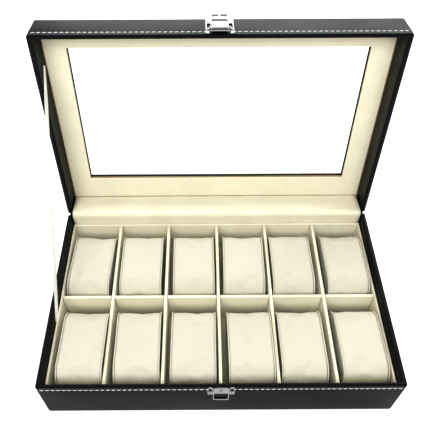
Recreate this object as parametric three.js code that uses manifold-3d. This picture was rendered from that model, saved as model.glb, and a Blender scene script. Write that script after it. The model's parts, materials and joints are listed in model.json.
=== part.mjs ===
// A twelve-place watch box with a glazed lid, standing open.
//
// Millimetres, +X to the right, +Y to the back, +Z up. The origin is the middle of the underside.
// The lid is drawn shut and then turned about the hinge line on the back edge, and the hasp is
// drawn folded up against the lid's front wall.

import * as THREE from 'three';
import { mergeVertices } from 'three/addons/utils/BufferGeometryUtils.js';
import Module from 'manifold-3d';

// Driving dimensions
const WIDTH = 300;
const DEPTH = 184;
const BASE_HEIGHT = 51;
const LID_HEIGHT = 30;
const LID_ANGLE = 97;           // degrees that the lid stands open
const RIM_GAP = 0.5;            // between the two rims when the lid is shut
const SIDE_WALL = 4.5;          // whole thickness of a side wall, skins included
const END_WALL = 3.5;           // whole thickness of a front or back wall
const SKIN = 0.5;               // leatherette
const GAP = 0.3;                // clearance between neighbouring pieces
const CORNER_RADIUS = 2;        // upright outer corners
const CORNER_STEPS = 6;
const TURN_IN = 14;             // how far the skin is turned down inside the base
const SHEET = 0.5;              // underside sheet
const BOTTOM_BOARD = 2.5;

// Cream lining and dividers of the base
const LINER_RECESS = 10;        // liner tops below the rim
const LINER = 2;
const FLOOR_LINER = 1;
const DIVIDER = 2.8;
const COLUMNS = 6;
const LAP_CLEARANCE = 0.35;

// Pillows
const PILLOW_WIDTH = 38.6;
const PILLOW_LENGTH = 69;
const PILLOW_HEIGHT = 40.8;
const PILLOW_ROUND = 14;        // of its four corners, seen from the side
const PILLOW_FORWARD = 4.4;     // how far each pillow lies in front of its compartment's middle
const PILLOW_STEPS = 10;        // per round corner

// Lid
const TOP_FRAME = 2.8;
const GLASS = 2;
const GLASS_MARGIN = 9;         // glass behind the frame on every side
const LINING_FRAME = 1.3;
const WINDOW_X = 126;           // half width of the window
const WINDOW_FRONT = -71;
const WINDOW_BACK = 65;
const LID_TURN_IN = 21;         // how far the skin is turned up inside the lid

// Latch
const PLATE = 0.8;
const PLATE_WIDTH = 22.4;
const LATCH_BODY_WIDTH = 13.4;
const LATCH_PLATE_LOW = 0.8;    // above the lid's rim
const LATCH_PLATE_HIGH = 27.6;
const HASP_AXIS_OFF = 3.2;      // hinge pin off the wall
const HASP_AXIS_UP = 2.4;       // hinge pin above the lid's rim
const HASP_THICKNESS = 1;
const HASP_STEP_AT = 14.6;      // from the pin, where the blade steps out
const HASP_STEP_OUT = 0.8;
const HASP_LIP_AT = 21.3;       // from the pin, where the finger lip starts
const HASP_LIP_OUT = 1.9;
const HASP_LENGTH = 24.4;
const HASP_NOTCH = 0.9;         // half the width of the notch in the lip
const BARREL_RADIUS = 2;
const BARREL_LENGTH = 12.4;
const PIN_RADIUS = 0.6;
const PIN_BORE = 0.95;
const PIN_LENGTH = 16.8;
const KNUCKLE_IN = 6.8;
const KNUCKLE_OUT = 8.4;
const KEEPER_TOP = 50.6;
const KEEPER_EAR_LOW = 38;
const KEEPER_LOW = 27.2;
const KEEPER_RISE = 1.1;        // raised body off the wall
const KEEPER_FRAME = 1;         // metal left round the window in the body
const KEEPER_WINDOW_LOW = 29.2;
const KEEPER_WINDOW_HIGH = 40.6;
const KEEPER_LUG_HALF = 1.5;
const KEEPER_LUG_LOW = 43.8;
const KEEPER_LUG_HIGH = 49.6;
const KEEPER_LUG_RISE = 0.7;    // off the raised body
const KEEPER_SLOT_LOW = 40.2;
const KEEPER_SLOT_HIGH = 49.4;
const LATCH_SLOT_LOW = 5.4;
const LATCH_SLOT_HIGH = 18.5;
const SLOT_HALF = 1.4;          // slots in the plates for the screws
const SCREW_X = 8.7;
const KEEPER_SCREW_Z = 44.2;
const LATCH_SCREW_UP = 7;        // above the lid's rim
const SCREW_HEAD = 1.9;
const SCREW_SHANK = 0.8;
const SCREW_HOLE = 1.15;
const SCREW_LENGTH = 3.6;

// Hinge cloths and stay ribbon
const CLOTH = 0.6;
const SPINE_REACH = 16;         // along each back wall
const HINGE_LINING_RADIUS = 4.3;
const RIBBON = 0.4;
const RIBBON_WIDTH = 10;
const RIBBON_LID_Y = -59;       // fixing on the lid's left wall
const RIBBON_LID_UP = 17;
const RIBBON_BASE_Y = -21;

// Derived places
const HALF_X = WIDTH / 2;
const HALF_Y = DEPTH / 2;
const INNER_X = HALF_X - SIDE_WALL;
const INNER_Y = HALF_Y - END_WALL;
const BOARD_OFF = SKIN + GAP - 0.05;
const SIDE_BOARD = SIDE_WALL - 2 * BOARD_OFF;
const END_BOARD = END_WALL - 2 * BOARD_OFF;
const HINGE_Z = BASE_HEIGHT + RIM_GAP / 2;
const FLOOR_BOARD_LOW = SHEET + GAP;
const FLOOR_LINER_LOW = FLOOR_BOARD_LOW + BOTTOM_BOARD + GAP;
const LINER_LOW = FLOOR_LINER_LOW + FLOOR_LINER + GAP;
const LINER_TOP = BASE_HEIGHT - LINER_RECESS;
const LINER_OUT_X = INNER_X - GAP;
const LINER_IN_X = LINER_OUT_X - LINER;
const LINER_OUT_Y = INNER_Y - CLOTH - 2 * GAP;
const LINER_IN_Y = LINER_OUT_Y - LINER;
const COLUMN_PITCH = (2 * LINER_OUT_X) / COLUMNS;
const ROW_CENTRE = (DIVIDER / 2 + LINER_IN_Y) / 2;
const TOP_FRAME_LOW = LID_HEIGHT - BOARD_OFF - TOP_FRAME;
const GLASS_LOW = TOP_FRAME_LOW - GAP - GLASS;
const LINING_FRAME_LOW = GLASS_LOW - GAP - LINING_FRAME;

const LEATHERETTE = { color: 0x1d1d1f, roughness: 0.5, metalness: 0 };
const CREAM_SUEDE = { color: 0xeadfbf, roughness: 0.9, metalness: 0 };
const BOARD = { color: 0xa08560, roughness: 0.9, metalness: 0 };
const NICKEL = { color: 0xc9ccd0, roughness: 0.2, metalness: 1 };
const CLEAR_GLASS = { color: 0xeef4f2, roughness: 0.05, metalness: 0, transparent: true, opacity: 0.3 };
const WHITE_SATIN = { color: 0xf2f0ea, roughness: 0.5, metalness: 0 };
const UNDERSIDE_FELT = { color: 0x161616, roughness: 0.95, metalness: 0 };

const wasm = await Module();
wasm.setup();

// ---- Shapes -------------------------------------------------------------------------------

function block(low, high) {
  const size = high.map((value, axis) => value - low[axis]);
  const geometry = new THREE.BoxGeometry(...size);
  geometry.translate(...low.map((value, axis) => value + size[axis] / 2));
  return geometry;
}

function rodAlongX(radius, halfLength, y, z, sides = 20) {
  const geometry = new THREE.CylinderGeometry(radius, radius, 2 * halfLength, sides);
  geometry.rotateZ(Math.PI / 2);
  geometry.translate(0, y, z);
  return geometry;
}

function rodAlongY(radius, fromY, toY, x, z, sides = 16) {
  const geometry = new THREE.CylinderGeometry(radius, radius, toY - fromY, sides);
  geometry.translate(x, (fromY + toY) / 2, z);
  return geometry;
}

// A right-angled outline with rounded corners, extruded upwards.
function roundedBlock(halfX, halfY, radius, low, high) {
  const outline = new THREE.Shape();
  outline.moveTo(halfX, -halfY + radius);
  outline.absarc(halfX - radius, halfY - radius, radius, 0, Math.PI / 2, false);
  outline.absarc(-halfX + radius, halfY - radius, radius, Math.PI / 2, Math.PI, false);
  outline.absarc(-halfX + radius, -halfY + radius, radius, Math.PI, 1.5 * Math.PI, false);
  outline.absarc(halfX - radius, -halfY + radius, radius, 1.5 * Math.PI, 2 * Math.PI, false);
  const geometry = new THREE.ExtrudeGeometry(outline, {
    depth: high - low,
    bevelEnabled: false,
    curveSegments: CORNER_STEPS,
  });
  geometry.translate(0, 0, low);
  return geometry;
}

// A flat outline in the YZ plane, given as a Shape whose x is Y and y is Z, run along X.
function extrudeAlongX(shape, fromX, toX, curveSegments = 8) {
  const geometry = new THREE.ExtrudeGeometry(shape, {
    depth: toX - fromX,
    bevelEnabled: false,
    curveSegments,
  });
  geometry.rotateX(Math.PI / 2);
  geometry.rotateZ(Math.PI / 2);
  geometry.translate(fromX, 0, 0);
  return geometry;
}

function toSolid(geometry) {
  const plain = geometry.clone();
  plain.deleteAttribute('normal');
  plain.deleteAttribute('uv');
  const merged = mergeVertices(plain, 1e-4);
  return new wasm.Manifold(new wasm.Mesh({
    numProp: 3,
    vertProperties: new Float32Array(merged.attributes.position.array),
    triVerts: new Uint32Array(merged.index.array),
  }));
}

function toGeometry(solid) {
  const mesh = solid.getMesh();
  const geometry = new THREE.BufferGeometry();
  geometry.setAttribute('position', new THREE.BufferAttribute(mesh.vertProperties, 3));
  geometry.setIndex(new THREE.BufferAttribute(mesh.triVerts, 1));
  geometry.computeVertexNormals();
  return geometry;
}

function cut(geometry, ...tools) {
  let solid = toSolid(geometry);
  for (const tool of tools) {
    solid = solid.subtract(toSolid(tool));
  }
  return toGeometry(solid);
}

function join(...geometries) {
  const [first, ...rest] = geometries.map(toSolid);
  return toGeometry(rest.reduce((whole, piece) => whole.add(piece), first));
}

function part(name, look, geometry) {
  const mesh = new THREE.Mesh(geometry, new THREE.MeshStandardMaterial(look));
  mesh.name = name;
  return mesh;
}

// Holes through a front wall for the two screws of a latch plate.
function screwHoles(z) {
  return [-SCREW_X, SCREW_X].map((x) => rodAlongY(SCREW_HOLE, -HALF_Y - 4, -INNER_Y + 4, x, z));
}

// ---- Base: boards and skin ----------------------------------------------------------------

// The upright slots in a plate that the two screws go through.
function screwSlots(low, high) {
  return [-SCREW_X, SCREW_X].map((x) => block(
    [x - SLOT_HALF, -HALF_Y - 2, low],
    [x + SLOT_HALF, -HALF_Y + 1, high],
  ));
}

function underside() {
  const inset = 1.5;
  return part('underside_sheet', UNDERSIDE_FELT,
    roundedBlock(HALF_X - inset, HALF_Y - inset, CORNER_RADIUS, 0, SHEET));
}

// Four wall boards round a rectangle; the front and back boards run the full width.
function wallBoards(prefix, low, high, screwZ) {
  const outX = HALF_X - BOARD_OFF;
  const outY = HALF_Y - BOARD_OFF;
  const sideEnd = outY - END_BOARD - GAP;
  const front = cut(
    block([-outX, -outY, low], [outX, -outY + END_BOARD, high]),
    ...screwHoles(screwZ),
  );
  return [
    part(`${prefix}_front_board`, BOARD, front),
    part(`${prefix}_back_board`, BOARD, block([-outX, outY - END_BOARD, low], [outX, outY, high])),
    part(`${prefix}_left_board`, BOARD,
      block([-outX, -sideEnd, low], [-outX + SIDE_BOARD, sideEnd, high])),
    part(`${prefix}_right_board`, BOARD,
      block([outX - SIDE_BOARD, -sideEnd, low], [outX, sideEnd, high])),
  ];
}

function bottomBoard() {
  const halfX = HALF_X - BOARD_OFF - SIDE_BOARD - GAP;
  const halfY = HALF_Y - BOARD_OFF - END_BOARD - GAP;
  return part('base_bottom_board', BOARD, block(
    [-halfX, -halfY, FLOOR_BOARD_LOW],
    [halfX, halfY, FLOOR_BOARD_LOW + BOTTOM_BOARD],
  ));
}

// The room that the wall boards take inside a skin, as a solid ring.
function boardRing(low, high) {
  const skinX = HALF_X - SKIN;
  const skinY = HALF_Y - SKIN;
  return cut(
    block([-skinX, -skinY, low], [skinX, skinY, high]),
    block([-INNER_X - SKIN, -INNER_Y - SKIN, low - 1], [INNER_X + SKIN, INNER_Y + SKIN, high + 1]),
  );
}

// Leatherette round the outside, over the rim and turned down inside.
function baseCover() {
  const low = FLOOR_BOARD_LOW;
  const turnInEnd = BASE_HEIGHT - TURN_IN;
  return part('base_cover', LEATHERETTE, cut(
    roundedBlock(HALF_X, HALF_Y, CORNER_RADIUS, low, BASE_HEIGHT),
    block([-INNER_X, -INNER_Y, low - 1], [INNER_X, INNER_Y, BASE_HEIGHT + 1]),
    boardRing(low - 1, BASE_HEIGHT - SKIN),
    block([-INNER_X - 2 * SKIN, -INNER_Y - 2 * SKIN, low - 1],
      [INNER_X + 2 * SKIN, INNER_Y + 2 * SKIN, turnInEnd]),
    ...screwHoles(KEEPER_SCREW_Z),
  ));
}

// ---- Base: cream lining -------------------------------------------------------------------

function liners() {
  const sideEnd = LINER_IN_Y - GAP;
  const floor = block(
    [-LINER_OUT_X, -LINER_OUT_Y, FLOOR_LINER_LOW],
    [LINER_OUT_X, LINER_OUT_Y, FLOOR_LINER_LOW + FLOOR_LINER],
  );
  const end = block([-LINER_OUT_X, 0, LINER_LOW], [LINER_OUT_X, LINER, LINER_TOP]);
  const side = block([0, -sideEnd, LINER_LOW], [LINER, sideEnd, LINER_TOP]);
  return [
    part('liner_floor', CREAM_SUEDE, floor),
    part('liner_front', CREAM_SUEDE, end.clone().translate(0, -LINER_OUT_Y, 0)),
    part('liner_back', CREAM_SUEDE, end.clone().translate(0, LINER_IN_Y, 0)),
    part('liner_left', CREAM_SUEDE, side.clone().translate(-LINER_OUT_X, 0, 0)),
    part('liner_right', CREAM_SUEDE, side.clone().translate(LINER_IN_X, 0, 0)),
  ];
}

// One divider along X and five across it, each pair joined by a half-lap slot.
function dividers() {
  const lapZ = (LINER_LOW + LINER_TOP) / 2;
  const slot = DIVIDER / 2 + LAP_CLEARANCE;
  const reachX = LINER_IN_X - GAP;
  const reachY = LINER_IN_Y - GAP;
  const places = Array.from({ length: COLUMNS - 1 }, (_, i) => (i + 1 - COLUMNS / 2) * COLUMN_PITCH);
  const slots = places.map((x) => block(
    [x - slot, -DIVIDER, lapZ - GAP / 2],
    [x + slot, DIVIDER, LINER_TOP + 1],
  ));
  const long = cut(
    block([-reachX, -DIVIDER / 2, LINER_LOW], [reachX, DIVIDER / 2, LINER_TOP]),
    ...slots,
  );
  const across = places.map((x, i) => part(`cross_divider_${i + 1}`, CREAM_SUEDE, cut(
    block([x - DIVIDER / 2, -reachY, LINER_LOW], [x + DIVIDER / 2, reachY, LINER_TOP]),
    block([x - DIVIDER, -slot, LINER_LOW - 1], [x + DIVIDER, slot, lapZ + GAP / 2]),
  )));
  return [part('long_divider', CREAM_SUEDE, long), ...across];
}

// A pillow is an upright slab with four round corners, run along X.
function pillowOutline() {
  const y = PILLOW_LENGTH / 2 - PILLOW_ROUND;
  const z = PILLOW_HEIGHT / 2 - PILLOW_ROUND;
  const corners = [[y, -z], [y, z], [-y, z], [-y, -z]];
  const outline = new THREE.Shape();
  corners.forEach(([a, b], i) => {
    outline.absarc(a, b, PILLOW_ROUND, (i - 1) * Math.PI / 2, i * Math.PI / 2, false);
  });
  return outline;
}

function pillows() {
  const made = [];
  const midZ = LINER_LOW + PILLOW_HEIGHT / 2;
  for (const row of [1, -1]) {
    for (let column = 0; column < COLUMNS; column += 1) {
      const x = (column + 0.5 - COLUMNS / 2) * COLUMN_PITCH;
      const shape = extrudeAlongX(pillowOutline(), -PILLOW_WIDTH / 2, PILLOW_WIDTH / 2, PILLOW_STEPS);
      const pillow = part(`pillow_${made.length + 1}`, CREAM_SUEDE, shape);
      pillow.position.set(x, row * ROW_CENTRE - PILLOW_FORWARD, midZ);
      made.push(pillow);
    }
  }
  return made;
}

// ---- Latch --------------------------------------------------------------------------------

// Pan-head screw driven into a front wall along +Y.
function screw(name, x, z) {
  const headUnder = -HALF_Y - GAP - PLATE - GAP;
  const profile = [
    new THREE.Vector2(0, -SCREW_LENGTH),
    new THREE.Vector2(SCREW_SHANK, -SCREW_LENGTH),
    new THREE.Vector2(SCREW_SHANK, 0),
    new THREE.Vector2(SCREW_HEAD, 0),
    new THREE.Vector2(SCREW_HEAD, 0.4),
    new THREE.Vector2(SCREW_HEAD * 0.6, 0.85),
    new THREE.Vector2(0, 1),
  ];
  const turned = new THREE.LatheGeometry(profile, 18);
  turned.rotateX(Math.PI);
  turned.translate(x, headUnder, z);
  return part(name, NICKEL, turned);
}

function keeper() {
  const wall = -HALF_Y - GAP;
  const half = LATCH_BODY_WIDTH / 2;
  const raised = wall - KEEPER_RISE;
  const plate = join(
    block([-PLATE_WIDTH / 2, wall - PLATE, KEEPER_EAR_LOW], [PLATE_WIDTH / 2, wall, KEEPER_TOP]),
    block([-half, raised, KEEPER_LOW], [half, wall, KEEPER_TOP]),
    block(
      [-KEEPER_LUG_HALF, raised - KEEPER_LUG_RISE, KEEPER_LUG_LOW],
      [KEEPER_LUG_HALF, raised + GAP, KEEPER_LUG_HIGH],
    ),
  );
  const window = block(
    [-half + KEEPER_FRAME, raised - 1, KEEPER_WINDOW_LOW],
    [half - KEEPER_FRAME, wall + 1, KEEPER_WINDOW_HIGH],
  );
  const slots = screwSlots(KEEPER_SLOT_LOW, KEEPER_SLOT_HIGH);
  const body = part('keeper_plate', NICKEL, cut(plate, window, ...slots));
  return [
    body,
    screw('keeper_screw_left', -SCREW_X, KEEPER_SCREW_Z),
    screw('keeper_screw_right', SCREW_X, KEEPER_SCREW_Z),
  ];
}

// The plate on the lid, with a knuckle at each side of the hasp's barrel.
function latchPlate() {
  const wall = -HALF_Y - GAP;
  const axisY = -HALF_Y - HASP_AXIS_OFF;
  const plate = block(
    [-PLATE_WIDTH / 2, wall - PLATE, LATCH_PLATE_LOW],
    [PLATE_WIDTH / 2, wall, LATCH_PLATE_HIGH],
  );
  const knuckles = [-KNUCKLE_OUT, KNUCKLE_IN].flatMap((x) => {
    const width = KNUCKLE_OUT - KNUCKLE_IN;
    const round = rodAlongX(BARREL_RADIUS, width / 2, axisY, HASP_AXIS_UP).translate(x + width / 2, 0, 0);
    const web = block([x, axisY, HASP_AXIS_UP], [x + width, wall - PLATE / 2, HASP_AXIS_UP + BARREL_RADIUS]);
    return [round, web];
  });
  const bore = rodAlongX(PIN_BORE, KNUCKLE_OUT + 1, axisY, HASP_AXIS_UP);
  const slots = screwSlots(LATCH_SLOT_LOW, LATCH_SLOT_HIGH);
  return [
    part('latch_plate', NICKEL, cut(join(plate, ...knuckles), bore, ...slots)),
    part('hasp_pin', NICKEL, rodAlongX(PIN_RADIUS, PIN_LENGTH / 2, axisY, HASP_AXIS_UP, 12)),
    screw('latch_screw_left', -SCREW_X, LATCH_SCREW_UP),
    screw('latch_screw_right', SCREW_X, LATCH_SCREW_UP),
  ];
}

// The swinging hasp, drawn about its own pin and folded up: a barrel, a stepped blade and a notched lip.
function hasp() {
  const half = LATCH_BODY_WIDTH / 2 - GAP;
  const front = -HASP_THICKNESS / 2;
  const back = HASP_THICKNESS / 2;
  const barrel = rodAlongX(BARREL_RADIUS, BARREL_LENGTH / 2, 0, 0);
  const neck = block([-BARREL_LENGTH / 2, front, 0], [BARREL_LENGTH / 2, back, BARREL_RADIUS + 1]);
  const blade = block([-half, front, BARREL_RADIUS + 0.4], [half, back, HASP_STEP_AT + HASP_THICKNESS]);
  const stepped = block(
    [-half, front - HASP_STEP_OUT, HASP_STEP_AT],
    [half, back - HASP_STEP_OUT, HASP_LIP_AT + HASP_THICKNESS],
  );
  const lip = block(
    [-half, front - HASP_LIP_OUT, HASP_LIP_AT],
    [half, back - HASP_LIP_OUT + 0.3, HASP_LENGTH],
  );
  const geometry = cut(
    join(barrel, neck, blade, stepped, lip),
    rodAlongX(PIN_BORE, BARREL_LENGTH, 0, 0),
    block([-HASP_NOTCH, -4, HASP_LENGTH - HASP_NOTCH], [HASP_NOTCH, 2, HASP_LENGTH + 1]),
  );
  const made = part('hasp', NICKEL, geometry);
  made.position.set(0, -HALF_Y - HASP_AXIS_OFF, HASP_AXIS_UP);
  return made;
}

// ---- Lid ----------------------------------------------------------------------------------

// A flat rectangular ring with the window cut through it, trimmed back by `edge`.
function windowRing(halfX, halfY, low, high, edge) {
  return cut(
    block([-halfX, -halfY, low], [halfX, halfY, high]),
    block([-WINDOW_X - edge, WINDOW_FRONT - edge, low - 1], [WINDOW_X + edge, WINDOW_BACK + edge, high + 1]),
  );
}

function lidCover() {
  return part('lid_cover', LEATHERETTE, cut(
    roundedBlock(HALF_X, HALF_Y, CORNER_RADIUS, 0, LID_HEIGHT),
    block([-INNER_X, -INNER_Y, -1], [INNER_X, INNER_Y, TOP_FRAME_LOW]),
    block([-WINDOW_X, WINDOW_FRONT, -1], [WINDOW_X, WINDOW_BACK, LID_HEIGHT + 1]),
    boardRing(SKIN, TOP_FRAME_LOW),
    windowRing(HALF_X - SKIN, HALF_Y - SKIN, TOP_FRAME_LOW - 0.1, LID_HEIGHT - SKIN, SKIN),
    block([-INNER_X - 2 * SKIN, -INNER_Y - 2 * SKIN, LID_TURN_IN],
      [INNER_X + 2 * SKIN, INNER_Y + 2 * SKIN, TOP_FRAME_LOW]),
    ...screwHoles(LATCH_SCREW_UP),
  ));
}

function lidFrames() {
  const outX = HALF_X - BOARD_OFF;
  const outY = HALF_Y - BOARD_OFF;
  const glass = block(
    [-WINDOW_X - GLASS_MARGIN, WINDOW_FRONT - GLASS_MARGIN, GLASS_LOW],
    [WINDOW_X + GLASS_MARGIN, WINDOW_BACK + GLASS_MARGIN, GLASS_LOW + GLASS],
  );
  return [
    part('lid_top_frame', BOARD,
      windowRing(outX, outY, TOP_FRAME_LOW, TOP_FRAME_LOW + TOP_FRAME, BOARD_OFF)),
    part('glass_pane', CLEAR_GLASS, glass),
    part('lid_lining_frame', CREAM_SUEDE,
      windowRing(INNER_X - GAP, INNER_Y - GAP, LINING_FRAME_LOW, LINING_FRAME_LOW + LINING_FRAME, 0)),
  ];
}

function lid() {
  const group = new THREE.Group();
  const shut = new THREE.Group();
  shut.add(
    ...wallBoards('lid', BOARD_OFF, TOP_FRAME_LOW - GAP, LATCH_SCREW_UP),
    lidCover(),
    ...lidFrames(),
    ...latchPlate(),
    hasp(),
  );
  shut.position.set(0, -HALF_Y, RIM_GAP / 2);
  group.add(shut);
  group.position.set(0, HALF_Y, HINGE_Z);
  group.rotation.x = -THREE.MathUtils.degToRad(LID_ANGLE);
  return group;
}

// ---- Cloth across the hinge ---------------------------------------------------------------

// A point of the open lid, from its distance out of the back wall's plane and above the rim.
function onOpenLid(out, up) {
  const angle = THREE.MathUtils.degToRad(LID_ANGLE);
  const dz = up + RIM_GAP / 2;
  return new THREE.Vector2(
    HALF_Y + out * Math.cos(angle) + dz * Math.sin(angle),
    HINGE_Z - out * Math.sin(angle) + dz * Math.cos(angle),
  );
}

// Outer strip: up the back of the base, then out along the lid's back wall.
function hingeSpine() {
  const near = GAP;
  const far = GAP + CLOTH;
  const fold = onOpenLid(near, near);
  const deepFold = onOpenLid(far, far);
  const outline = new THREE.Shape([
    new THREE.Vector2(HALF_Y + near, BASE_HEIGHT - SPINE_REACH),
    new THREE.Vector2(HALF_Y + far, BASE_HEIGHT - SPINE_REACH),
    new THREE.Vector2(HALF_Y + far, deepFold.y),
    onOpenLid(far, SPINE_REACH),
    onOpenLid(near, SPINE_REACH),
    new THREE.Vector2(HALF_Y + near, fold.y),
  ]);
  const reach = HALF_X - CORNER_RADIUS;
  return part('hinge_spine', LEATHERETTE, extrudeAlongX(outline, -reach, reach));
}

// Inner strip: up behind the back liner, round the two rims and along the lid's back wall.
function hingeLining() {
  const inner = HINGE_LINING_RADIUS - CLOTH;
  const turn = THREE.MathUtils.degToRad(LID_ANGLE);
  const low = LINER_TOP - 6;
  const lidEnd = LINING_FRAME_LOW - GAP - 0.2;
  const outline = new THREE.Shape();
  outline.moveTo(HALF_Y - inner, low);
  outline.lineTo(HALF_Y - inner, HINGE_Z);
  outline.absarc(HALF_Y, HINGE_Z, inner, Math.PI, Math.PI - turn, true);
  outline.lineTo(...onOpenLid(-inner, lidEnd));
  outline.lineTo(...onOpenLid(-HINGE_LINING_RADIUS, lidEnd));
  outline.absarc(HALF_Y, HINGE_Z, HINGE_LINING_RADIUS, Math.PI - turn, Math.PI, false);
  outline.lineTo(HALF_Y - HINGE_LINING_RADIUS, low);
  outline.closePath();
  const reach = INNER_X - 1.2;
  return part('hinge_lining', CREAM_SUEDE, extrudeAlongX(outline, -reach, reach));
}

// A taut ribbon on the left, from behind the liner to the lid's side wall, that stops the lid.
function stayRibbon() {
  const foot = new THREE.Vector2(RIBBON_BASE_Y, LINER_TOP + GAP + RIBBON_WIDTH / 2);
  const head = onOpenLid(RIBBON_LID_Y - HALF_Y, RIBBON_LID_UP);
  const along = head.clone().sub(foot).normalize();
  const across = new THREE.Vector2(-along.y, along.x).multiplyScalar(RIBBON_WIDTH / 2);
  const outline = new THREE.Shape([
    foot.clone().sub(across),
    head.clone().sub(across),
    head.clone().add(across),
    foot.clone().add(across),
  ]);
  const outX = -INNER_X + GAP;
  return part('stay_ribbon', WHITE_SATIN, extrudeAlongX(outline, outX, outX + RIBBON));
}

// ---- Assembly -----------------------------------------------------------------------------

const watchBox = new THREE.Group();
watchBox.add(
  underside(),
  bottomBoard(),
  ...wallBoards('base', FLOOR_BOARD_LOW, BASE_HEIGHT - BOARD_OFF, KEEPER_SCREW_Z),
  baseCover(),
  ...liners(),
  ...dividers(),
  ...pillows(),
  ...keeper(),
  lid(),
  hingeSpine(),
  hingeLining(),
  stayRibbon(),
);

export default watchBox;
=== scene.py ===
"""The watch box as it looks: leatherette shells, suede lining and pillows, glass, latch and cloth hinge.

Metres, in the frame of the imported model. The lid's pieces are drawn shut, in a frame whose origin is the
middle of the lid's rim, and TO_LID carries them to where the lid stands open at rest.
"""
import json
import math
import random

import bmesh
import bpy
from mathutils import Matrix, Vector, noise


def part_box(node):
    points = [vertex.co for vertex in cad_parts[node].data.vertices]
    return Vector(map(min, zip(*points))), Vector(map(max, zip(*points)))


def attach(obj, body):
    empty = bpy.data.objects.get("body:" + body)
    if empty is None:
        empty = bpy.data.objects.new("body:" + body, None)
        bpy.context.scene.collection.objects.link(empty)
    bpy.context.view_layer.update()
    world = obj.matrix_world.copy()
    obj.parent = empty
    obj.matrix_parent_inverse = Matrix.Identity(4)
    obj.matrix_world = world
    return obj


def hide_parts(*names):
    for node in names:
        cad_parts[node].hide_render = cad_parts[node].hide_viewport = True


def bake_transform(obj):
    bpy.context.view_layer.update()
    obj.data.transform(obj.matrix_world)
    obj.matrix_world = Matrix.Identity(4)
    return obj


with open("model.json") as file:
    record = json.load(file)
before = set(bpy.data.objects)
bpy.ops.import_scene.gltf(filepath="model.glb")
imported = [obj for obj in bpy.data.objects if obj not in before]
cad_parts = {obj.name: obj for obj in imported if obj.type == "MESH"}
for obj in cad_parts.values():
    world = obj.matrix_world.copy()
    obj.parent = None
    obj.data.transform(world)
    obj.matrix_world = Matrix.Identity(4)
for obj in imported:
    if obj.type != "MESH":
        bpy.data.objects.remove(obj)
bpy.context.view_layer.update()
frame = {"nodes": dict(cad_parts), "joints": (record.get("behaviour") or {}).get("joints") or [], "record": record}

MM = 0.001

# ---- Sizes, from the frame where it has them ----------------------------------------------

JOINTS = {joint["name"]: joint for joint in frame["joints"]}
HINGE = Vector(JOINTS["lid_hinge"]["pos_m"])
LID_ANGLE = -math.radians(JOINTS["lid_hinge"]["range_deg"][0])
HASP_AXIS = Vector(JOINTS["hasp_hinge"]["pos_m"])
BASE_LOW, BASE_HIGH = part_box("base_cover")
HALF_X, HALF_Y, RIM_Z = BASE_HIGH.x, BASE_HIGH.y, BASE_HIGH.z
RIM_GAP = 2 * (HINGE.z - RIM_Z)
SIDE_WALL = 4.5 * MM        # left and right walls
END_WALL = 3.5 * MM         # front and back walls
SKIN = 0.5 * MM             # leatherette on the boards
LID_HEIGHT = 30 * MM
WINDOW_X = 126 * MM
WINDOW_FRONT = -71 * MM
WINDOW_BACK = 65 * MM
GLASS_LOW = 24.15 * MM
STITCH_DROP = 5.0 * MM      # from the base's rim to its stitch line
LID_STITCH_UP = 5.5 * MM    # from the lid's rim to its stitch line
PROUD = 0.02 * MM           # keeps metal off the leatherette under it, and threads in it

TO_LID = (
    Matrix.Translation(HINGE)
    @ Matrix.Rotation(-LID_ANGLE, 4, "X")
    @ Matrix.Translation(Vector((0, -HALF_Y, RIM_GAP / 2)))
)


# ---- Camera, lights, floor ----------------------------------------------------------------

CAMERA_PLACE = Vector((-0.0149, -0.2651, 0.4626))
CAMERA_DOWN = 0.9126        # radians below the horizon
CAMERA_TURN = 0.002
CAMERA_ROLL = -0.004
CAMERA_LENS = 44.46
CAMERA_SHIFT = (0.0353, 0.0594)
SENSOR_WIDTH = 36
WORLD_DIM, WORLD_BRIGHT = 0.3, 0.6
WORLD_BRIGHTEST = (0, 0.45, 0.89)      # direction of the brightest part


def make_camera():
    data = bpy.data.cameras.new("camera")
    data.lens = CAMERA_LENS
    data.sensor_width = SENSOR_WIDTH
    data.shift_x, data.shift_y = CAMERA_SHIFT
    data.clip_start = 0.01
    camera = bpy.data.objects.new("camera", data)
    bpy.context.scene.collection.objects.link(camera)
    ahead = Vector((
        math.sin(CAMERA_TURN) * math.cos(CAMERA_DOWN),
        math.cos(CAMERA_TURN) * math.cos(CAMERA_DOWN),
        -math.sin(CAMERA_DOWN),
    ))
    level = Vector((math.cos(CAMERA_TURN), -math.sin(CAMERA_TURN), 0))
    up = level.cross(ahead)
    c, s = math.cos(CAMERA_ROLL), math.sin(CAMERA_ROLL)
    right = level * c + up * s
    top = up * c - level * s
    axes = Matrix((right, top, -ahead)).transposed().to_4x4()
    camera.matrix_world = Matrix.Translation(CAMERA_PLACE) @ axes
    bpy.context.scene.camera = camera


def make_light(name, place, aim, size, power, glossy=True):
    data = bpy.data.lights.new(name, "AREA")
    data.shape = "RECTANGLE"
    data.size, data.size_y = size
    data.energy = power
    light = bpy.data.objects.new(name, data)
    bpy.context.scene.collection.objects.link(light)
    light.location = place
    light.visible_glossy = glossy
    light.rotation_mode = "QUATERNION"
    light.rotation_quaternion = (Vector(aim) - Vector(place)).to_track_quat("-Z", "Y")


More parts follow.
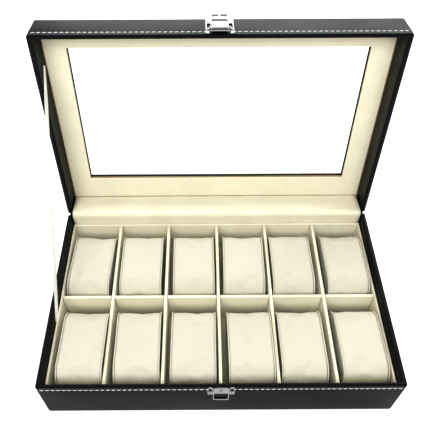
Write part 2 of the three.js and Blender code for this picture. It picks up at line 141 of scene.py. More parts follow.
def make_world():
    """A soft studio: bright overhead and behind, dim low in front where the photographer stands."""
    world = bpy.data.worlds.new("studio")
    world.use_nodes = True
    bpy.context.scene.world = world
    tree = world.node_tree
    background = tree.nodes["Background"]
    background.inputs["Color"].default_value = (1, 1, 1, 1)
    facing = tree.nodes.new("ShaderNodeVectorMath")
    facing.operation = "DOT_PRODUCT"
    tree.links.new(tree.nodes.new("ShaderNodeTexCoord").outputs["Generated"], facing.inputs[0])
    facing.inputs[1].default_value = WORLD_BRIGHTEST
    strength = spread(tree, facing.outputs["Value"], WORLD_DIM, WORLD_BRIGHT, 0.1, 0.9)
    tree.links.new(strength, background.inputs["Strength"])


def make_floor():
    bpy.ops.mesh.primitive_grid_add(x_subdivisions=8, y_subdivisions=8, size=8)
    floor = bpy.context.object
    floor.name = "floor"
    floor.data.materials.append(make_speckled(
        "floor_paper", {"Scale": 60, "Detail": 3}, (0.9, 0.9, 0.9), (0.93, 0.93, 0.93), 0.75, 0.2,
    ))


# ---- Materials ----------------------------------------------------------------------------

def new_material(name):
    material = bpy.data.materials.new(name)
    material.use_nodes = True
    tree = material.node_tree
    return material, tree.nodes["Principled BSDF"], tree


def set_sockets(tree, node, values):
    """Sets each named input to its value, or links it where the value is another node's output."""
    for key, value in values.items():
        if isinstance(value, bpy.types.NodeSocket):
            tree.links.new(value, node.inputs[key])
        else:
            node.inputs[key].default_value = value


def texture(tree, kind, vector=None, **values):
    """A texture node on object coordinates, with its inputs set by name."""
    node = tree.nodes.new(kind)
    if vector is None:
        vector = tree.nodes.new("ShaderNodeTexCoord").outputs["Object"]
    set_sockets(tree, node, {"Vector": vector, **values})
    return node


def blend_colours(tree, factor, first, second):
    node = tree.nodes.new("ShaderNodeMix")
    node.data_type = "RGBA"
    set_sockets(tree, node, {"Factor": factor, "A": (*first, 1), "B": (*second, 1)})
    return node.outputs["Result"]


def spread(tree, value, low, high, from_low=0.0, from_high=1.0):
    """value, mapped from one range to another."""
    node = tree.nodes.new("ShaderNodeMapRange")
    set_sockets(tree, node, {
        "Value": value, "From Min": from_low, "From Max": from_high, "To Min": low, "To Max": high,
    })
    return node.outputs["Result"]


def bump(tree, height, distance, strength, under=None):
    node = tree.nodes.new("ShaderNodeBump")
    set_sockets(tree, node, {"Height": height, "Distance": distance, "Strength": strength})
    if under is not None:
        tree.links.new(under, node.inputs["Normal"])
    return node.outputs["Normal"]


def stretched(tree, scale):
    """Object coordinates scaled differently along each axis, for brushed or woven lines."""
    node = tree.nodes.new("ShaderNodeMapping")
    tree.links.new(tree.nodes.new("ShaderNodeTexCoord").outputs["Object"], node.inputs["Vector"])
    node.inputs["Scale"].default_value = scale
    return node.outputs["Vector"]


def make_leatherette():
    """Black coated cloth with a fine pebble grain."""
    material, bsdf, tree = new_material("black_leatherette")
    drift = texture(tree, "ShaderNodeTexNoise", Scale=240, Detail=2)
    bent = tree.nodes.new("ShaderNodeVectorMath")
    bent.operation = "MULTIPLY_ADD"
    tree.links.new(drift.outputs["Color"], bent.inputs[0])
    bent.inputs[1].default_value = (0.0012, 0.0012, 0.0012)
    tree.links.new(tree.nodes.new("ShaderNodeTexCoord").outputs["Object"], bent.inputs[2])
    grain = texture(tree, "ShaderNodeTexVoronoi", bent.outputs[0], Scale=820)
    grain.feature = "DISTANCE_TO_EDGE"
    fine = texture(tree, "ShaderNodeTexNoise", Scale=2600, Detail=3)
    patches = texture(tree, "ShaderNodeTexNoise", Scale=14, Detail=4)
    pebble = spread(tree, grain.outputs["Distance"], 0, 1, 0, 0.3)
    tone = blend_colours(tree, pebble, (0.004, 0.004, 0.0045), (0.011, 0.011, 0.0125))
    coarse = bump(tree, pebble, 0.00008, 0.55)
    set_sockets(tree, bsdf, {
        "Base Color": tone,
        "Roughness": spread(tree, patches.outputs["Fac"], 0.4, 0.54, 0.3, 0.7),
        "Specular IOR Level": 0.16,
        "Normal": bump(tree, fine.outputs["Fac"], 0.00003, 0.35, coarse),
    })
    return material


def make_suede(name, light, dark, mottle):
    """Short-napped velvet: brushed patches (as deep as mottle), a fine nap and a soft edge sheen."""
    material, bsdf, tree = new_material(name)
    brushed = texture(tree, "ShaderNodeTexNoise", Scale=38, Detail=4, Roughness=0.55, Distortion=0.6)
    nap = texture(tree, "ShaderNodeTexNoise", Scale=1500, Detail=4, Roughness=0.7)
    fibre = texture(tree, "ShaderNodeTexNoise", stretched(tree, (700, 2600, 2600)), Scale=1, Detail=2)
    wide = blend_colours(tree, spread(tree, brushed.outputs["Fac"], 0, 1, 0.3, 0.7), dark, light)
    fleck = tree.nodes.new("ShaderNodeMix")
    fleck.data_type = "RGBA"
    fleck.blend_type = "MULTIPLY"
    fleck.inputs["Factor"].default_value = 0.5
    tree.links.new(wide, fleck.inputs["A"])
    nap_share = spread(tree, nap.outputs["Fac"], 0, 1, 0.3, 0.7)
    tree.links.new(blend_colours(tree, nap_share, (0.86, 0.85, 0.82), (1, 1, 1)), fleck.inputs["B"])
    soft = bump(tree, brushed.outputs["Fac"], 0.0004, mottle)
    rough = bump(tree, nap.outputs["Fac"], 0.00009, 0.5, soft)
    set_sockets(tree, bsdf, {
        "Base Color": fleck.outputs["Result"],
        "Roughness": 0.93,
        "Specular IOR Level": 0.15,
        "Sheen Weight": 0.25,
        "Sheen Roughness": 0.45,
        "Sheen Tint": (1, 0.97, 0.88, 1),
        "Normal": bump(tree, fibre.outputs["Fac"], 0.00004, 0.3, rough),
    })
    return material


def make_nickel():
    """Bright plated steel with polishing lines and a few duller patches."""
    material, bsdf, tree = new_material("bright_nickel")
    lines = texture(tree, "ShaderNodeTexNoise", stretched(tree, (300, 4000, 4000)), Scale=1, Detail=2)
    patches = texture(tree, "ShaderNodeTexNoise", Scale=420, Detail=3)
    tone = blend_colours(tree, patches.outputs["Fac"], (0.27, 0.27, 0.275), (0.35, 0.35, 0.355))
    set_sockets(tree, bsdf, {
        "Base Color": tone,
        "Metallic": 1,
        "Roughness": spread(tree, patches.outputs["Fac"], 0.07, 0.16, 0.3, 0.7),
        "Normal": bump(tree, lines.outputs["Fac"], 0.00002, 0.25),
    })
    return material


def make_glass():
    """A clear pane: see-through, with a mirror reflection that grows at a glancing angle."""
    material, bsdf, tree = new_material("clear_glass")
    tree.nodes.remove(bsdf)
    clear = tree.nodes.new("ShaderNodeBsdfTransparent")
    clear.inputs["Color"].default_value = (0.985, 0.995, 0.99, 1)
    gloss = tree.nodes.new("ShaderNodeBsdfGlossy")
    smear = texture(tree, "ShaderNodeTexNoise", Scale=30, Detail=5)
    tree.links.new(spread(tree, smear.outputs["Fac"], 0.0, 0.05, 0.4, 0.8), gloss.inputs["Roughness"])
    slant = tree.nodes.new("ShaderNodeLayerWeight")
    slant.inputs["Blend"].default_value = 0.5
    rise = tree.nodes.new("ShaderNodeMath")
    rise.operation = "POWER"
    tree.links.new(slant.outputs["Facing"], rise.inputs[0])
    rise.inputs[1].default_value = 4
    mix = tree.nodes.new("ShaderNodeMixShader")
    tree.links.new(spread(tree, rise.outputs["Value"], 0.015, 0.6), mix.inputs["Fac"])
    tree.links.new(clear.outputs["BSDF"], mix.inputs[1])
    tree.links.new(gloss.outputs["BSDF"], mix.inputs[2])
    tree.links.new(mix.outputs["Shader"], tree.nodes["Material Output"].inputs["Surface"])
    return material


def make_satin(name, across, dark, light):
    """White woven satin; `across` is the scale of the weave along X, Y and Z."""
    material, bsdf, tree = new_material(name)
    weave = texture(tree, "ShaderNodeTexNoise", stretched(tree, across), Scale=1, Detail=1)
    tone = blend_colours(tree, weave.outputs["Fac"], dark, light)
    set_sockets(tree, bsdf, {
        "Base Color": tone,
        "Roughness": spread(tree, weave.outputs["Fac"], 0.34, 0.5),
        "Sheen Weight": 0.3,
        "Normal": bump(tree, weave.outputs["Fac"], 0.00005, 0.4),
    })
    return material


def make_speckled(name, speckle, dark, light, roughness, specular, relief=None):
    """A matt material of one noise between two colours; relief is the same noise's bump, if any."""
    material, bsdf, tree = new_material(name)
    share = texture(tree, "ShaderNodeTexNoise", **speckle).outputs["Fac"]
    set_sockets(tree, bsdf, {
        "Base Color": blend_colours(tree, share, dark, light),
        "Roughness": roughness,
        "Specular IOR Level": specular,
    })
    if relief:
        tree.links.new(bump(tree, share, *relief), bsdf.inputs["Normal"])
    return material


LEATHERETTE = make_leatherette()
LINING = make_suede("cream_suede", (0.68, 0.645, 0.51), (0.64, 0.605, 0.47), 0.2)
PILLOW_SUEDE = make_suede("cream_pillow_suede", (0.505, 0.485, 0.405), (0.485, 0.465, 0.385), 0.08)
NICKEL = make_nickel()
GLASS = make_glass()
RIBBON_SATIN = make_satin("white_satin", (2600, 500, 500), (0.88, 0.875, 0.86), (0.97, 0.97, 0.96))
THREAD = make_satin("white_thread", (1800, 1800, 5200), (0.62, 0.62, 0.61), (0.8, 0.8, 0.78))
BOARD = make_speckled(
    "fibreboard", {"Scale": 700, "Detail": 5, "Roughness": 0.7},
    (0.3, 0.2, 0.11), (0.55, 0.42, 0.27), 0.9, 0.5, (0.0001, 0.3),
)
FLOCK = make_speckled(
    "black_flocked_paper", {"Scale": 1900, "Detail": 4, "Roughness": 0.8},
    (0.008, 0.008, 0.009), (0.03, 0.03, 0.032), 0.97, 0.1, (0.00015, 0.5),
)
SLOT_MATERIALS = {
    "leatherette": LEATHERETTE,
    "cream_suede": LINING,
    "glass": GLASS,
    "nickel": NICKEL,
    "white_fabric": RIBBON_SATIN,
    "board": BOARD,
    "underside_paper": FLOCK,
}


# ---- Mesh helpers -------------------------------------------------------------------------

def new_piece(name, vertices, faces, material, body, replaced=(), ride=True):
    mesh = bpy.data.meshes.new(name)
    mesh.from_pydata([tuple(v) for v in vertices], [], faces)
    mesh.validate()
    work = bmesh.new()
    work.from_mesh(mesh)
    bmesh.ops.recalc_face_normals(work, faces=work.faces)
    work.to_mesh(mesh)
    work.free()
    return piece_from(name, mesh, material, body, replaced, ride)


def piece_from(name, mesh, material, body, replaced=(), ride=True):
    mesh.materials.clear()
    mesh.materials.append(material)
    mesh.polygons.foreach_set("use_smooth", [True] * len(mesh.polygons))
    piece = bpy.data.objects.new(name, mesh)
    bpy.context.scene.collection.objects.link(piece)
    if ride:
        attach(piece, body)
    if replaced:
        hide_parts(*replaced)
    return piece


CORNER_POINTS = 7
SIDE_POINTS = 12


def rectangle(low_x, high_x, low_y, high_y, radius):
    """Points round a rectangle with round corners, always the same number in the same order."""
    corners = [
        (high_x - radius, low_y + radius, -0.5),
        (high_x - radius, high_y - radius, 0.0),
        (low_x + radius, high_y - radius, 0.5),
        (low_x + radius, low_y + radius, 1.0),
    ]
    arcs = []
    for x, y, quarter in corners:
        turns = [math.pi * (quarter + 0.5 * i / (CORNER_POINTS - 1)) for i in range(CORNER_POINTS)]
        arcs.append([Vector((x + radius * math.cos(a), y + radius * math.sin(a))) for a in turns])
    points = []
    for k, arc in enumerate(arcs):
        following = arcs[(k + 1) % 4][0]
        points += arc
        points += [arc[-1].lerp(following, (i + 1) / (SIDE_POINTS + 1)) for i in range(SIDE_POINTS)]
    return points


POINTS_ROUND = 4 * (CORNER_POINTS + SIDE_POINTS)
CORNER_MIDDLES = [k * (CORNER_POINTS + SIDE_POINTS) + CORNER_POINTS // 2 for k in range(4)]


def loft_faces(rings, count, closed):
    """Faces between rings of count points each; closed joins the last ring to the first."""
    faces = []
    last = rings if closed else rings - 1
    for i in range(last):
        for j in range(count):
            a, b = i * count, ((i + 1) % rings) * count
            k = (j + 1) % count
            faces.append((a + j, a + k, b + k, b + j))
    return faces


def capped_faces(rings, count):
    """The same for an open row of rings, with a face over its first and its last ring."""
    faces = loft_faces(rings, count, closed=False)
    for ring in (0, rings - 1):
        faces.append(tuple(range(ring * count, (ring + 1) * count)))
    return faces


def turns_round(count):
    return [2 * math.pi * j / count for j in range(count)]


def wall_ring(inset, z, mitre=0.0):
    """A ring round the box at a depth into its walls, from 0 outside to END_WALL inside.

    mitre is how far the middle of each corner is sunk, for the seam of the folded leatherette."""
    inset_x = inset * SIDE_WALL / END_WALL
    radius = max(0.4 * MM, 2 * MM - 0.6 * inset)
    outline = rectangle(-HALF_X + inset_x, HALF_X - inset_x, -HALF_Y + inset, HALF_Y - inset, radius)
    ring = [Vector((p.x, p.y, z)) for p in outline]
    for middle in CORNER_MIDDLES:
        for point, share in ((middle, 1), (middle - 1, 0.25), (middle + 1, 0.25)):
            ring[point].z -= share * mitre
    return ring


def quarter_round(steps=5):
    """(share along, share up) of a quarter circle, from its side to its top."""
    return [
        (1 - math.cos(0.5 * math.pi * i / steps), math.sin(0.5 * math.pi * i / steps))
        for i in range(steps + 1)
    ]


# ---- Leatherette shells -------------------------------------------------------------------

OUTER_ROUND = 1.5 * MM
INNER_ROUND = 1.3 * MM
MITRE = 0.3 * MM
PAST_ROUND = 0.5 * MM       # from the end of a rounded edge to the next ring
BOARD_GAP = 1.2 * SKIN      # from an outer face to the inner face of its skin
# Round the stitch line: (up the wall, into it), mm
GROOVE = ((-0.75, 0.0), (-0.4, 0.12), (0.0, 0.22), (0.4, 0.12), (0.75, 0.0))


def rim_rings(rim, up, outer_start, inner_end):
    """Rings from low outside, over the stitched edge and the rim, to the turned-in end inside.

    rim is the height of the rim, and up is +1 where the wall stands under it and -1 where it hangs."""
    rings = [wall_ring(0, outer_start)]
    stitch = rim - up * STITCH_DROP
    rings += [wall_ring(depth * MM, stitch + up * along * MM) for along, depth in GROOVE]
    rings.append(wall_ring(0, rim - up * (OUTER_ROUND + PAST_ROUND)))
    for along, rise in quarter_round():
        depth = MITRE * rise ** 2
        rings.append(wall_ring(along * OUTER_ROUND, rim - up * OUTER_ROUND * (1 - rise), up * depth))
    rings.append(wall_ring(0.5 * END_WALL, rim + up * 0.1 * MM, up * MITRE))
    for along, rise in reversed(quarter_round()):
        depth = MITRE * rise ** 2
        inset = END_WALL - along * INNER_ROUND
        rings.append(wall_ring(inset, rim - up * INNER_ROUND * (1 - rise), up * depth))
    rings.append(wall_ring(END_WALL, rim - up * (INNER_ROUND + PAST_ROUND)))
    rings.append(wall_ring(END_WALL, inner_end))
    return rings


def make_base_shell():
    low = BASE_LOW.z
    edge = 0.7 * MM
    rings = [
        wall_ring(SKIN, low),
        wall_ring(0.3 * edge, low + 0.15 * edge),
        wall_ring(0, low + edge),
    ]
    inner_end = RIM_Z - 14 * MM
    rings += rim_rings(RIM_Z, 1, low + 2 * edge, inner_end)
    under_rim = RIM_Z - BOARD_GAP
    rings += [
        wall_ring(END_WALL - SKIN, inner_end),
        wall_ring(END_WALL - SKIN, under_rim),
        wall_ring(SKIN, under_rim),
    ]
    points = [p for ring in rings for p in ring]
    faces = loft_faces(len(rings), POINTS_ROUND, closed=True)
    new_piece("base_leatherette", points, faces, LEATHERETTE, "base", ["base_cover"])


def top_ring(share, z, radius):
    """A ring across the lid's top, from 0 at its outer edge to 1 at the window."""
    outline = rectangle(
        -HALF_X + share * (HALF_X - WINDOW_X),
        HALF_X - share * (HALF_X - WINDOW_X),
        -HALF_Y + share * (HALF_Y + WINDOW_FRONT),
        HALF_Y - share * (HALF_Y - WINDOW_BACK),
        radius,
    )
    return [Vector((p.x, p.y, z)) for p in outline]


def window_ring(margin, z):
    """A ring round the window, margin outside its edge."""
    across, front, back = WINDOW_X + margin, WINDOW_FRONT - margin, WINDOW_BACK + margin
    outline = rectangle(-across, across, front, back, 0.6 * MM + margin)
    return [Vector((p.x, p.y, z)) for p in outline]


def make_lid_shell():
    top_round = 1.5 * MM
    inner_end = 21 * MM
    rings = list(reversed(rim_rings(0.0, -1, 27 * MM, inner_end)))
    for along, rise in quarter_round():
        rings.append(wall_ring(along * top_round, LID_HEIGHT - top_round * (1 - rise)))
    rings.append(top_ring(0.2, LID_HEIGHT, 2 * MM))
    rings.append(top_ring(0.8, LID_HEIGHT, MM))
    edge = 0.9 * MM
    for along, rise in reversed(quarter_round()):
        rings.append(window_ring(along * edge, LID_HEIGHT - edge * (1 - rise)))
    lip_end = GLASS_LOW + 2.5 * MM
    under_top = LID_HEIGHT - BOARD_GAP
    rings += [
        window_ring(0, lip_end),
        window_ring(SKIN, lip_end),
        window_ring(SKIN, under_top),
        wall_ring(SKIN, under_top),
        wall_ring(SKIN, BOARD_GAP),
        wall_ring(END_WALL - SKIN, BOARD_GAP),
        wall_ring(END_WALL - SKIN, inner_end),
    ]
    points = [TO_LID @ p for ring in rings for p in ring]
    faces = loft_faces(len(rings), POINTS_ROUND, closed=True)
    new_piece("lid_leatherette", points, faces, LEATHERETTE, "lid", ["lid_cover"])


# ---- Stitching ----------------------------------------------------------------------------

STITCH_PITCH = 4.47 * MM
STITCH_LENGTH = 3.95 * MM
THREAD_RADIUS = 0.31 * MM
THREAD_END = 0.05           # share of the radius left at a stitch's two ends
STITCH_TILT = 5             # degrees off the line
STITCH_TILT_SPREAD = 1.5


def stitch_shape():
    """One stitch along X, lying in the XZ plane and proud along -Y, as (points, faces)."""
    around, steps = 10, 8
    points = []
    for i in range(steps + 1):
        s = -1 + 2 * i / steps
        swell = (1 - abs(s) ** 3.2) ** 0.5 if abs(s) < 1 else THREAD_END
        dip = 0.35 * MM * abs(s) ** 3
        for a in turns_round(around):
            points.append(Vector((
                s * STITCH_LENGTH / 2,
                dip - THREAD_RADIUS * swell * math.sin(a) * 0.8,
                THREAD_RADIUS * swell * math.cos(a),
            )))
    return points, capped_faces(steps + 1, around)


def stitch_line(points, faces, start, end, outward, rng):
    """Adds a row of stitches from start to end on a wall that faces outward."""
    shape, shape_faces = stitch_shape()
    run = (end - start).normalized()
    upward = outward.cross(run)
    count = int((end - start).length / STITCH_PITCH)
    spare = ((end - start).length - (count - 1) * STITCH_PITCH) / 2
    for i in range(count):
        tilt = math.radians(STITCH_TILT + rng.uniform(-STITCH_TILT_SPREAD, STITCH_TILT_SPREAD))
        middle = start + run * (spare + i * STITCH_PITCH) - outward * PROUD
        first = len(points)
        for p in shape:
            x = p.x * math.cos(tilt) - p.z * math.sin(tilt)
            z = p.x * math.sin(tilt) + p.z * math.cos(tilt)
            points.append(middle + run * x - outward * p.y + upward * z)
        faces += [tuple(first + k for k in face) for face in shape_faces]


def make_stitching():
    rng = random.Random(4)
    inset = 1.2 * MM
    x, y = HALF_X - inset, HALF_Y - inset
    walls = [
        (Vector((-x, -HALF_Y, 0)), Vector((x, -HALF_Y, 0)), Vector((0, -1, 0))),
        (Vector((HALF_X, -y, 0)), Vector((HALF_X, y, 0)), Vector((1, 0, 0))),
        (Vector((-HALF_X, y, 0)), Vector((-HALF_X, -y, 0)), Vector((-1, 0, 0))),
    ]
    for name, body, height, move in (
        ("base_stitching", "base", RIM_Z - STITCH_DROP, Matrix.Identity(4)),
        ("lid_stitching", "lid", LID_STITCH_UP, TO_LID),
    ):
        points, faces = [], []
        for start, end, outward in walls:
            lift = Vector((0, 0, height))
            stitch_line(points, faces, start + lift, end + lift, outward, rng)
        new_piece(name, [move @ p for p in points], faces, THREAD, body)


# ---- Suede lining -------------------------------------------------------------------------

def rounded_copy(node, body, width, segments=3):
    """A suede copy of a flat CAD piece: merged, dissolved to plain faces and rounded at its edges."""
    work = bmesh.new()
    work.from_mesh(frame["nodes"][node].data)
    bmesh.ops.remove_doubles(work, verts=work.verts, dist=0.02 * MM)
    bmesh.ops.dissolve_limit(work, angle_limit=math.radians(2), verts=work.verts, edges=work.edges)
    sharp = [e for e in work.edges if e.is_manifold and e.calc_face_angle() > math.radians(25)]
    bmesh.ops.bevel(work, geom=sharp, offset=width, segments=segments, profile=0.6, affect="EDGES",
                    clamp_overlap=True)
    bmesh.ops.recalc_face_normals(work, faces=work.faces)
    mesh = bpy.data.meshes.new(f"{node}_soft")
    work.to_mesh(mesh)
    work.free()
    piece = piece_from(f"{node}_soft", mesh, LINING, body, [node])
    piece.modifiers.new("normals", "WEIGHTED_NORMAL").keep_sharp = True


def make_lining():
    for node in ("liner_front", "liner_back", "liner_left", "liner_right"):
        rounded_copy(node, "base", 0.8 * MM)
    for node in ["long_divider"] + [f"cross_divider_{i}" for i in range(1, 6)]:
        rounded_copy(node, "base", 0.62 * MM)
    rounded_copy("liner_floor", "base", 0.3 * MM, 2)
    rounded_copy("lid_lining_frame", "lid", 0.5 * MM)


# ---- Pillows ------------------------------------------------------------------------------

LOOP_POINTS = 96
WIDTH_STEPS = 14
PANEL_RINGS = 7
PILLOW_CORNER = 14 * MM
PANEL_SINK = 2.4 * MM       # how far a side panel lies in from its seam
SEAM_RADIUS = 0.6 * MM
CORNER_STEPS = 12           # in a quarter of the outline
JITTER = 0.04 * MM          # start of the simulation, so that no two covers settle alike
MOST_MOVE = 1.0 * MM        # furthest a point may settle from the cage
PUCKER = 0.06 * MM
SIM_FRAMES = 20


def pillow_outline(length, height):
    """Closed loop in the YZ plane: a slab with four round corners, its points evenly spaced."""
    y, z, r = length / 2 - PILLOW_CORNER, height / 2 - PILLOW_CORNER, PILLOW_CORNER
    points = []
    for k, (a, b) in enumerate(((y, -z), (y, z), (-y, z), (-y, -z))):
        for i in range(CORNER_STEPS + 1):
            turn = 0.5 * math.pi * (k - 1 + i / CORNER_STEPS)
            points.append(Vector((a + r * math.cos(turn), b + r * math.sin(turn))))
    return even_loop(points, LOOP_POINTS)


def even_loop(points, count):
    """The same closed loop with count points evenly spaced."""
    ring = points + [points[0]]
    steps = [0.0]
    for a, b in zip(ring, ring[1:]):
        steps.append(steps[-1] + (b - a).length)
    spaced, k = [], 0
    for i in range(count):
        want = steps[-1] * i / count
        while steps[k + 1] < want:
            k += 1
        share = (want - steps[k]) / (steps[k + 1] - steps[k])
        spaced.append(ring[k].lerp(ring[k + 1], share))
    return spaced


def pillow_cage(size):
    """A closed pillow of one band and two sunken side panels, its rings running from panel to panel.

    One face closes each panel inside its innermost ring, and the seams are the rings where band and
    panel meet. Gives back (points, faces, seams)."""
    outline = pillow_outline(size.y - 2.2 * SEAM_RADIUS, size.z - 2.2 * SEAM_RADIUS)
    half = size.x / 2 - 0.6 * SEAM_RADIUS
    medial = (size.y - size.z) / 2
    shares = [k / PANEL_RINGS for k in range(1, PANEL_RINGS + 1)]
    panel = [(share, half - PANEL_SINK * (1 - share ** 4)) for share in shares]
    rings = [(share, -x) for share, x in panel]
    rings += [(1.0, half * (2 * k / WIDTH_STEPS - 1)) for k in range(1, WIDTH_STEPS)]
    rings += [(share, x) for share, x in reversed(panel)]
    points = []
    for share, x in rings:
        for p in outline:
            core = Vector((max(-medial, min(medial, p.x)), 0))
            q = core.lerp(p, share)
            points.append(Vector((x, q.x, q.y)))
    faces = capped_faces(len(rings), LOOP_POINTS)
    return points, faces, (PANEL_RINGS - 1, PANEL_RINGS - 1 + WIDTH_STEPS)


def simulate(points, faces, pinned, seed):
    """Fills the cage with Blender's cloth under pressure and gives back where its points end."""
    rng = random.Random(seed)
    start = [p + Vector([rng.uniform(-1, 1) * JITTER for _ in range(3)]) for p in points]
    mesh = bpy.data.meshes.new("pillow_sim")
    mesh.from_pydata([tuple(p) for p in start], [], faces)
    mesh.update()
    work = bmesh.new()
    work.from_mesh(mesh)
    bmesh.ops.recalc_face_normals(work, faces=work.faces)
    work.to_mesh(mesh)
    work.free()
    body = bpy.data.objects.new("pillow_sim", mesh)
    bpy.context.scene.collection.objects.link(body)
    held = body.vertex_groups.new(name="seam")
    held.add(pinned, 1.0, "REPLACE")
    cloth = body.modifiers.new("cloth", "CLOTH")
    settings = cloth.settings
    settings.quality = 6
    settings.mass = 0.2
    settings.tension_stiffness = 14
    settings.compression_stiffness = 14
    settings.shear_stiffness = 6
    settings.bending_stiffness = 1.5
    settings.use_pressure = True
    settings.uniform_pressure_force = 4
    settings.vertex_group_mass = "seam"
    settings.pin_stiffness = 3.0
    settings.shrink_min = -0.01
    settings.effector_weights.gravity = 0
    cloth.collision_settings.use_collision = False
    cloth.point_cache.frame_start, cloth.point_cache.frame_end = 1, SIM_FRAMES
    scene = bpy.context.scene
    for frame_number in range(1, SIM_FRAMES + 1):
        scene.frame_set(frame_number)
    solved = body.evaluated_get(bpy.context.evaluated_depsgraph_get())
    moved = [v.co.copy() for v in solved.data.vertices]
    bpy.data.objects.remove(body)
    scene.frame_set(1)
    ended = []
    for before, after in zip(points, moved):
        step = after - before
        ended.append(before + step * min(1.0, MOST_MOVE / max(step.length, 1e-9)))
    return ended


def pucker(points, seams, seed):
    """Small gathers across the band beside each seam, fading within a few millimetres."""
    rng = random.Random(seed)
    waves = [(rng.randint(20, 38), rng.uniform(0, 2 * math.pi), rng.uniform(0.4, 1)) for _ in range(4)]
    made = [p.copy() for p in points]
    for k, p in enumerate(points):
        ring, j = divmod(k, LOOP_POINTS)
        away = min(abs(ring - seam) for seam in seams)
        fade = math.exp(-0.9 * away) if away else 0.35
        turn = 2 * math.pi * j / LOOP_POINTS
        wave = sum(size * math.sin(count * turn + phase) for count, phase, size in waves) / 4
        out = Vector((0, p.y, p.z)).normalized()
        made[k] += out * wave * fade * PUCKER
    return made


def seam_tube(loop, sign):
    """A thin welt round one seam, as (points, faces)."""
    around = 8
    centre = sum(loop, Vector()) / len(loop)
    side = Vector((sign, 0, 0))
    points = []
    for i, p in enumerate(loop):
        run = (loop[(i + 1) % len(loop)] - loop[i - 1]).normalized()
        out = run.cross(side).normalized()
        if out.dot(p - centre) < 0:
            out = -out
        for a in turns_round(around):
            points.append(p + out * SEAM_RADIUS * (0.45 + math.cos(a)) + side * SEAM_RADIUS * math.sin(a))
    return points, loft_faces(len(loop), around, closed=True)


def pillow_mesh(seed, size):
    """One pillow about the origin: the simulated cover, smoothed, with a welt on each side seam."""
    points, faces, seams = pillow_cage(size)
    pinned = [seam * LOOP_POINTS + j for seam in seams for j in range(LOOP_POINTS)]
    points = simulate(points, faces, pinned, seed)
    points = pucker(points, seams, seed)
    mesh = bpy.data.meshes.new(f"pillow_shape_{seed}")
    mesh.from_pydata([tuple(p) for p in points], [], faces)
    mesh.update()
    holder = bpy.data.objects.new("pillow_holder", mesh)
    bpy.context.scene.collection.objects.link(holder)
    smooth = holder.modifiers.new("smooth", "SUBSURF")
    smooth.levels = smooth.render_levels = 1
    solved = bpy.data.meshes.new_from_object(holder.evaluated_get(bpy.context.evaluated_depsgraph_get()))
    bpy.data.objects.remove(holder)
    work = bmesh.new()
    work.from_mesh(solved)
    for seam, sign in zip(seams, (-1, 1)):
        loop = [points[seam * LOOP_POINTS + j] for j in range(LOOP_POINTS)]
        tube, tube_faces = seam_tube(loop, sign)
        corners = [work.verts.new(p) for p in tube]
        for face in tube_faces:
            work.faces.new([corners[k] for k in face])
    bmesh.ops.recalc_face_normals(work, faces=work.faces)
    work.to_mesh(solved)
    work.free()
    return solved


PILLOW_KINDS = 3
# How far each pillow lies off the middle of its place (mm) and how far it is turned (degrees)
PILLOW_LIE = [
    (1.0, -2.4), (0.3, -0.4), (1.3, 0.5), (0.5, -0.6), (-2.0, 0.4), (0.5, 0.8),
    (2.9, -0.9), (2.0, 0.5), (1.5, -0.3), (2.2, 0.5), (-1.9, 0.4), (0.4, 0.9),
]


def make_pillows():
    low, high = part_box("pillow_1")
    kinds = [pillow_mesh(seed, high - low) for seed in range(PILLOW_KINDS)]
    for i, (shift, turn) in enumerate(PILLOW_LIE):
        node = f"pillow_{i + 1}"
        low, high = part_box(node)
        flip = Matrix.Rotation(math.pi * (i // PILLOW_KINDS % 2), 4, "Z")
        place = (
            Matrix.Translation((low + high) / 2 + Vector((shift * MM, 0, 0)))
            @ Matrix.Rotation(math.radians(turn), 4, "Z")
            @ flip
        )
        mesh = kinds[(i * 2 + i // 6) % PILLOW_KINDS].copy()
        mesh.transform(place)
        piece = piece_from(f"{node}_cover", mesh, PILLOW_SUEDE, node, [node])


# ---- Cloth across the hinge ---------------------------------------------------------------

LINING_THICK = 0.5 * MM
LINING_HALF = 144.3 * MM
LINING_CLEAR = 0.55 * MM    # from the walls to the middle of the cloth
LINING_LID_END = 21.9 * MM  # up from the lid's rim
SPINE_THICK = 0.5 * MM
SPINE_HALF = HALF_X - 2.2 * MM
SPINE_CLEAR = 0.55 * MM     # from the back walls to the middle of the strip
SPINE_KNEE = 1.9 * MM       # below the hinge, where the strip starts to bend
SPINE_LEAVE = 1.6 * MM      # up from the lid's rim, where the bend ends
SPINE_LID_END = 16 * MM


def two_layer_faces(rows, columns):
    """Faces of a closed sheet of two layers, each of rows by columns quads, its points layer by layer."""
    wide = columns + 1
    layer = (rows + 1) * wide
    faces = []
    for i in range(rows):
        for c in range(columns):
            a = i * wide + c
            faces.append((a, a + 1, a + wide + 1, a + wide))
            faces.append((layer + a, layer + a + wide, layer + a + wide + 1, layer + a + 1))
        for c in (0, columns):
            a = i * wide + c
            faces.append((a, a + wide, layer + a + wide, layer + a))
    for i in (0, rows):
        for c in range(columns):
            a = i * wide + c
            faces.append((a, a + 1, layer + a + 1, layer + a))
    return faces


def hinge_point(radius, turn):
    """A point round the hinge line: turn 0 is in front of it, LID_ANGLE above the open lid's rim."""
    return Vector((0, HINGE.y - radius * math.cos(turn), HINGE.z + radius * math.sin(turn)))


def strip_mesh(path, half_width, thickness, columns, ripple=0.0, seed=0):
    """A thick strip that follows path (points in the YZ plane), 2 * half_width wide along X."""
    rows = len(path)
    outs = []
    for i in range(rows):
        run = (path[min(i + 1, rows - 1)] - path[max(i - 1, 0)]).normalized()
        outs.append(Vector((0, -run.z, run.y)))
    points = []
    for side in (0.5, -0.5):
        for i, p in enumerate(path):
            for c in range(columns + 1):
                x = -half_width + 2 * half_width * c / columns
                wave = ripple * noise.noise(Vector((x * 55, i * 0.35, seed * 7.3)))
                q = p + outs[i] * (side * thickness + wave)
                points.append(Vector((x, q.y, q.z)))
    return points, two_layer_faces(rows - 1, columns)


